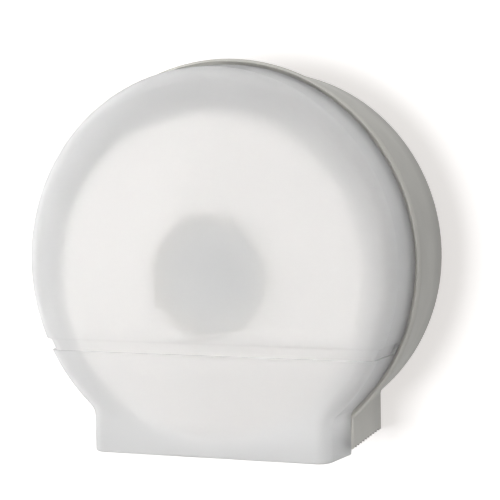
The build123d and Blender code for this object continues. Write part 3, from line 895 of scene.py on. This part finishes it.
@dataclass
class Roll:
    """The hub, the board core and the wound paper."""

    hub_colour: Colour = (0.44, 0.44, 0.43)
    hub_shade: Colour = (0.40, 0.40, 0.395)
    hub_roughness: float = 0.5
    rim_start: float = 22 * MM
    rim_end: float = 42 * MM
    rim_light_level: float = 1.4
    board_colour: Colour = (0.56, 0.49, 0.4)
    board_fibre: Colour = (0.62, 0.55, 0.46)
    board_pitch: float = 62 * MM
    paper_colour: Colour = (0.96, 0.92, 0.885)
    paper_shade: Colour = (0.88, 0.84, 0.805)
    ply: float = 0.45 * MM
    turn_steps: int = 240
    ring_gap: float = 1.0 * MM
    side_wander: float = 0.35 * MM
    edge_round: float = 1.2 * MM
    tail_step: float = 0.45 * MM
    tail_angle: float = math.radians(-62)
    tail_fall: int = 8
    wrap_steps: int = 26
    seed: int = 7
    wander_span: int = 5
    wave_drift: float = 0.22
    corner_wander: float = 0.4

    def build(self, effects: Effects) -> None:
        """Dresses the hub and core, and builds the paper.

        Args:
            effects: the shared node groups.
        """
        low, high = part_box("paper_roll")
        centre = (low + high) / 2
        # Painted light: the hub lighter towards its rim.
        painted_light_rim = RingFade(centre.x, centre.z, self.rim_start, self.rim_end, 1.0, self.rim_light_level)
        hub = MouldedPlastic(
            "hub_grey", self.hub_colour, self.hub_shade, self.hub_roughness, fades=(painted_light_rim,)
        )
        dress("core_hub", hub.build(effects))
        board = WoundBoard(
            "core_board", self.board_colour, self.board_fibre, centre.x, centre.z, self.board_pitch
        )
        dress("paper_core", board.build(effects))
        core_low, core_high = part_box("paper_core")
        inner = (core_high.x - core_low.x) / 2
        outer = (high.x - low.x) / 2
        tissue = TissuePaper(
            "tissue", self.paper_colour, self.paper_shade, centre.x, centre.z, inner, outer, self.ply
        )
        paper = self.wound_paper(centre, (inner, outer), (low.y, high.y))
        paper.data.materials.append(tissue.build(effects))
        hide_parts("paper_roll")
        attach(paper, "roll")
        LOG.info("built %s with %d points", paper.name, len(paper.data.vertices))

    def profile(
        self, inner: float, outer: float, rear_y: float, front_y: float
    ) -> list[tuple[float, float, float]]:
        """Outline of the roll's section, from the core round the front, the wrap and the back.

        Args:
            inner: radius of the core.
            outer: radius of the wrap.
            rear_y: depth of the back face.
            front_y: depth of the front face.

        Returns:
            Radius, depth and how much the point may wander along Y.
        """
        count = round((outer - self.edge_round - inner) / self.ring_gap)
        radii = np.linspace(inner, outer - self.edge_round, count)
        front = [(radius, front_y, 1.0) for radius in radii]
        back = [(radius, rear_y, -1.0) for radius in reversed(radii)]
        round_front = []
        for angle in (math.radians(22.5), math.radians(45), math.radians(67.5)):
            inset = self.edge_round * (1 - math.sin(angle))
            sunk = self.edge_round * (1 - math.cos(angle))
            round_front.append((outer - inset, front_y + sunk, self.corner_wander))
        round_back = [
            (radius, rear_y - (depth - front_y), -freedom) for radius, depth, freedom in reversed(round_front)
        ]
        depths = np.linspace(front_y + self.edge_round, rear_y - self.edge_round, self.wrap_steps)
        wrap = [(outer, depth, 0.0) for depth in depths]
        return front + round_front + wrap + round_back + back

    def wound_paper(
        self, centre: Vector, radii: tuple[float, float], depths: tuple[float, float]
    ) -> bpy.types.Object:
        """The paper as one closed wound form, with uneven ends and a step where its outer wrap ends.

        Args:
            centre: the middle of the roll.
            radii: of the core and of the wrap.
            depths: of the front and of the back face.

        Returns:
            The roll's object.
        """
        inner, outer = radii
        front_y, rear_y = depths
        section = self.profile(inner, outer, rear_y, front_y)
        draw = np.random.default_rng(self.seed)
        raw = draw.normal(0, 1, len(section) + self.wander_span - 1)
        wander = np.convolve(raw, np.ones(self.wander_span) / self.wander_span, "valid")
        wave_phase = np.cumsum(draw.normal(0, self.wave_drift, len(section)))
        angles = np.linspace(0, 2 * math.pi, self.turn_steps, endpoint=False)
        points = []
        for index, (radius, depth, freedom) in enumerate(section):
            since_tail = np.mod(angles - self.tail_angle, 2 * math.pi) / (2 * math.pi)
            share = max(0.0, (radius - inner) / (outer - inner))
            reach = radius - self.tail_step * since_tail * share**self.tail_fall
            inward = abs(wander[index]) + 0.5 + 0.5 * np.sin(2 * angles + wave_phase[index])
            along = depth + freedom * self.side_wander * 0.5 * inward
            x, z = centre.x + reach * np.cos(angles), centre.z + reach * np.sin(angles)
            points.append(np.stack([x, along, z], 1))
        rows, steps = len(section), self.turn_steps
        faces = []
        for row in range(rows):
            here, below = row * steps, (row + 1) % rows * steps
            for step in range(steps):
                after = (step + 1) % steps
                faces.append((here + step, here + after, below + after, below + step))
        return mesh_object("wound_paper", np.concatenate(points), faces)


# ---------------------------------------------------------------------------
# Camera, wall and light
# ---------------------------------------------------------------------------


@dataclass(frozen=True)
class Viewpoint:
    """The photograph's camera, fitted to the dispenser's outlines."""

    azimuth: float = 21.98
    elevation: float = 4.94
    roll: float = -1.015
    target: tuple[float, float, float] = (0.0, -60 * MM, 0.0)
    distance: float = 1.3677
    focal_px: float = 1918.9
    centre_px: tuple[float, float] = (239.54, 258.01)
    sensor: float = 36.0
    clip_start: float = 0.05
    clip_end: float = 50.0

    def build(self) -> None:
        """Makes the camera and sets it as the scene's."""
        azimuth, elevation, roll = (math.radians(a) for a in (self.azimuth, self.elevation, self.roll))
        back = outward(azimuth, elevation)
        right = Vector((math.cos(azimuth), math.sin(azimuth), 0.0))
        up = back.cross(right)
        turned_right = right * math.cos(roll) + up * math.sin(roll)
        turned_up = up * math.cos(roll) - right * math.sin(roll)
        data = bpy.data.cameras.new("camera")
        data.sensor_width = self.sensor
        data.lens = self.focal_px * self.sensor / PHOTO_SIDE
        data.shift_x = (PHOTO_SIDE / 2 - self.centre_px[0]) / PHOTO_SIDE
        data.shift_y = (self.centre_px[1] - PHOTO_SIDE / 2) / PHOTO_SIDE
        data.clip_start = self.clip_start
        data.clip_end = self.clip_end
        camera = bpy.data.objects.new("camera", data)
        turn = Matrix((turned_right, turned_up, back)).transposed().to_4x4()
        camera.matrix_world = Matrix.Translation(Vector(self.target) + back * self.distance) @ turn
        bpy.context.scene.collection.objects.link(camera)
        bpy.context.scene.camera = camera


@dataclass
class Studio:
    """A white wall that runs into a pale floor, two soft lights, a wash on the wall and an even surround.

    The wash gives the dispenser's shadow on the wall. The other two lights leave the wall alone.
    """

    wall_y: float = 0.4 * MM
    half_width: float = 4.0
    height: float = 3.0
    floor_z: float = -1.25
    sweep: float = 0.4
    key_power: float = 6.6
    key_size: float = 0.5
    key_distance: float = 1.3
    key_azimuth: float = -35.0
    key_elevation: float = 0.0
    top_power: float = 7.5
    top_size: float = 1.0
    top_distance: float = 1.8
    top_azimuth: float = 0.0
    top_elevation: float = 75.0
    wash_power: float = 40.0
    wash_size: float = 0.97
    wash_distance: float = 3.0
    wash_azimuth: float = -8.1
    wash_elevation: float = 0.0
    surround: float = 0.48
    wall_glow: float = 0.41
    wall_white: float = 0.92
    glow_colour: Colour = (1.0, 0.95, 0.92)
    white_from: float = 0.3
    white_at: float = 0.9

    def build(self) -> None:
        """Makes the wall, the lights and the world."""
        wall = self.wall()
        key_aim = (self.key_azimuth, self.key_elevation)
        top_aim = (self.top_azimuth, self.top_elevation)
        wash_aim = (self.wash_azimuth, self.wash_elevation)
        key = self.lamp("key", key_aim, self.key_distance, self.key_size, self.key_power)
        top = self.lamp("top", top_aim, self.top_distance, self.top_size, self.top_power)
        wash = self.lamp("wall_wash", wash_aim, self.wash_distance, self.wash_size, self.wash_power)
        self.link(wash, wall, Reach.WALL_ALONE)
        self.link(key, wall, Reach.ALL_BUT_WALL)
        self.link(top, wall, Reach.ALL_BUT_WALL)
        self.world()

    def link(self, light: bpy.types.Object, wall: bpy.types.Object, reach: Reach) -> None:
        """Makes a light shine on the wall alone, or on everything but the wall.

        Args:
            light: the light.
            wall: the wall.
            reach: what the light shines on.
        """
        lit = bpy.data.collections.new(light.name + "_lit")
        lit.objects.link(wall)
        light.light_linking.receiver_collection = lit
        lit.collection_objects[0].light_linking.link_state = reach.value

    def wall(self) -> bpy.types.Object:
        """The wall with its curve into the floor. It shows white from the front and nothing from behind.

        Returns:
            The wall.
        """
        line = [(self.wall_y, self.height), (self.wall_y, self.floor_z + self.sweep)]
        for angle in (math.radians(degrees) for degrees in range(9, 91, 9)):
            forward = self.sweep * (1 - math.cos(angle))
            upward = self.sweep * (1 - math.sin(angle))
            line.append((self.wall_y - forward, self.floor_z + upward))
        line.append((-self.height, self.floor_z))
        points = np.array([(x, y, z) for y, z in line for x in (-self.half_width, self.half_width)])
        faces = [(2 * i, 2 * i + 2, 2 * i + 3, 2 * i + 1) for i in range(len(line) - 1)]
        wall = mesh_object("wall_and_floor", points, faces)
        wall.data.materials.append(self.wall_paint())
        wall.visible_diffuse = False
        wall.visible_glossy = False
        wall.visible_transmission = False
        wall.visible_shadow = False
        return wall

    def wall_paint(self) -> bpy.types.Material:
        """White paint that keeps the dispenser's shadow and is clear from behind.

        Returns:
            The material.
        """
        material = bpy.data.materials.new("wall_paint")
        material.use_nodes = True
        board = Board(material.node_tree)
        material.node_tree.nodes.remove(material.node_tree.nodes["Principled BSDF"])
        output = material.node_tree.nodes["Material Output"]
        paint = board.add("BsdfDiffuse", Color=(self.wall_white,) * 3)
        place = board.add("NewGeometry").outputs["Position"]
        away = board.add("VectorMath", {"operation": "LENGTH"}, Vector=place).outputs["Value"]
        strength = board.spread(away, self.white_from, self.white_at, self.wall_glow, 1.0)
        glow = board.add("Emission", Color=self.glow_colour, Strength=strength)
        both = board.add("AddShader")
        board.feed(both.inputs[0], paint.outputs[0])
        board.feed(both.inputs[1], glow.outputs[0])
        clear = board.add("BsdfTransparent")
        sides = board.add("MixShader")
        board.feed(sides.inputs[0], board.add("NewGeometry").outputs["Backfacing"])
        board.feed(sides.inputs[1], both.outputs[0])
        board.feed(sides.inputs[2], clear.outputs[0])
        board.feed(output.inputs["Surface"], sides.outputs[0])
        return material

    def lamp(
        self, name: str, aim: tuple[float, float], distance: float, size: float, power: float
    ) -> bpy.types.Object:
        """A round soft light that faces the dispenser.

        Args:
            name: the light's name.
            aim: degrees to the right of straight in front, and degrees above the horizon.
            distance: metres from the origin.
            size: its diameter in metres.
            power: its power in watts.

        Returns:
            The light.
        """
        back = outward(*(math.radians(angle) for angle in aim))
        data = bpy.data.lights.new(name, "AREA")
        data.shape = "DISK"
        data.size = size
        data.energy = power
        light = bpy.data.objects.new(name, data)
        light.location = back * distance
        light.rotation_mode = "QUATERNION"
        light.rotation_quaternion = back.to_track_quat("Z", "Y")
        bpy.context.scene.collection.objects.link(light)
        return light

    def world(self) -> None:
        """Even light from all round, which the camera, reflections and clear plastic see as white."""
        world = bpy.data.worlds.new("surround")
        world.use_nodes = True
        board = Board(world.node_tree)
        lit = world.node_tree.nodes["Background"]
        board.feed(lit.inputs["Color"], WHITE)
        lit.inputs["Strength"].default_value = self.surround
        seen = board.add("Background", Color=WHITE, Strength=1.0)
        path = board.add("LightPath")
        direct = board.math("MAXIMUM", path.outputs["Is Camera Ray"], path.outputs["Is Glossy Ray"])
        mix = board.add("MixShader")
        board.feed(mix.inputs[0], board.math("MAXIMUM", direct, path.outputs["Is Transmission Ray"]))
        board.feed(mix.inputs[1], lit.outputs[0])
        board.feed(mix.inputs[2], seen.outputs[0])
        board.feed(world.node_tree.nodes["World Output"].inputs["Surface"], mix.outputs[0])
        bpy.context.scene.world = world


def main() -> None:
    """Builds the scene's sub-assemblies in order."""
    logging.basicConfig(level=logging.INFO, format="%(name)s: %(message)s")
    bpy.context.scene.view_settings.view_transform = "Standard"
    Viewpoint().build()
    effects = Effects()
    for part in (Housing(), CamLock(), Cover(), Roll()):
        part.build(effects)
    Studio().build()


if __name__ == "__main__":
    main()
